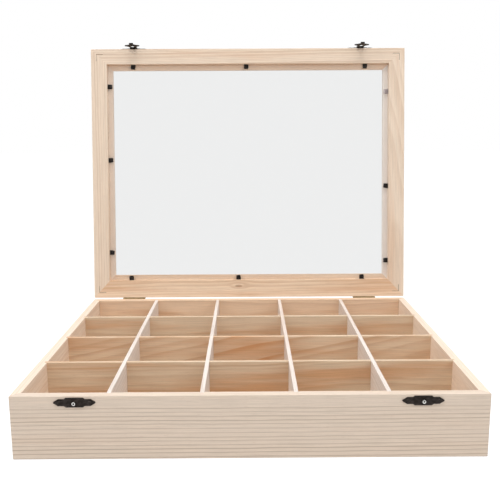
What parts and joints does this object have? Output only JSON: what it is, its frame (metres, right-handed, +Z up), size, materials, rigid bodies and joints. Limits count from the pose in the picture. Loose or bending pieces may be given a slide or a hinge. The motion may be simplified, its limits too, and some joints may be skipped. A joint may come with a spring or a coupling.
{
  "type": "mineral specimen box",
  "caption": "Shallow wooden specimen box with a grid of open compartments and a hinged glazed lid that shuts over them with front hasp latches.",
  "frame": {"origin": "middle of the box's flat underside", "axes": "+X to the right along the box's long side, +Y to the back, where the lid is hinged, +Z up"},
  "size_m": [0.37, 0.3517, 0.3494],
  "materials": {
    "pine_boards": "unfinished sanded pine",
    "divider_boards": "unfinished sanded pine",
    "plywood": "unfinished plywood",
    "clear_glass": "clear polished",
    "black_steel": "blackened steel",
    "antique_brass": "antique brass",
    "bright_rivets": "worn nickel-plated rivets",
    "dark_bronze": "dark antique bronze"
  },
  "bodies": {
    "box": {"front_wall": "pine_boards", "right_wall": "pine_boards", "back_wall": "pine_boards", "left_wall": "pine_boards", "floor_panel": "plywood", "cross_divider_1": "divider_boards", "cross_divider_2": "divider_boards", "cross_divider_3": "divider_boards", "front_to_back_divider_1": "divider_boards", "front_to_back_divider_2": "divider_boards", "front_to_back_divider_3": "divider_boards", "front_to_back_divider_4": "divider_boards", "left_hinge_box_leaf": "antique_brass", "left_hinge_pin": "antique_brass", "left_latch_box_plate": "dark_bronze", "left_latch_stud": "bright_rivets", "right_hinge_box_leaf": "antique_brass", "right_hinge_pin": "antique_brass", "right_latch_box_plate": "dark_bronze", "right_latch_stud": "bright_rivets", "hinge_box_nails": "antique_brass", "latch_box_nails": "dark_bronze"},
    "lid": {"lid_front_rail": "pine_boards", "lid_right_stile": "pine_boards", "lid_rear_rail": "pine_boards", "lid_left_stile": "pine_boards", "glass_pane": "clear_glass", "glazing_points": "black_steel", "lid_mitre_nails": "black_steel", "left_hinge_lid_leaf": "antique_brass", "left_latch_lid_plate": "dark_bronze", "left_latch_pin": "dark_bronze", "right_hinge_lid_leaf": "antique_brass", "right_latch_lid_plate": "dark_bronze", "right_latch_pin": "dark_bronze", "hinge_lid_nails": "antique_brass", "latch_lid_nails": "dark_bronze"},
    "left_tongue": {"left_latch_tongue": "dark_bronze"},
    "right_tongue": {"right_latch_tongue": "dark_bronze"}
  },
  "joints": [
    {"name": "lid_hinge", "type": "hinge", "parent": "box", "child": "lid", "pos_m": [0, 0.1482, 0.0521], "axis": [1, 0, 0], "range_deg": [0, 98]},
    {"name": "left_tongue_hinge", "type": "hinge", "parent": "lid", "child": "left_tongue", "pos_m": [-0.1347, 0.19215, 0.34544], "axis": [-1, 0, 0], "range_deg": [0, 160]},
    {"name": "right_tongue_hinge", "type": "hinge", "parent": "lid", "child": "right_tongue", "pos_m": [0.1327, 0.19215, 0.34544], "axis": [-1, 0, 0], "range_deg": [0, 160]}
  ]
}
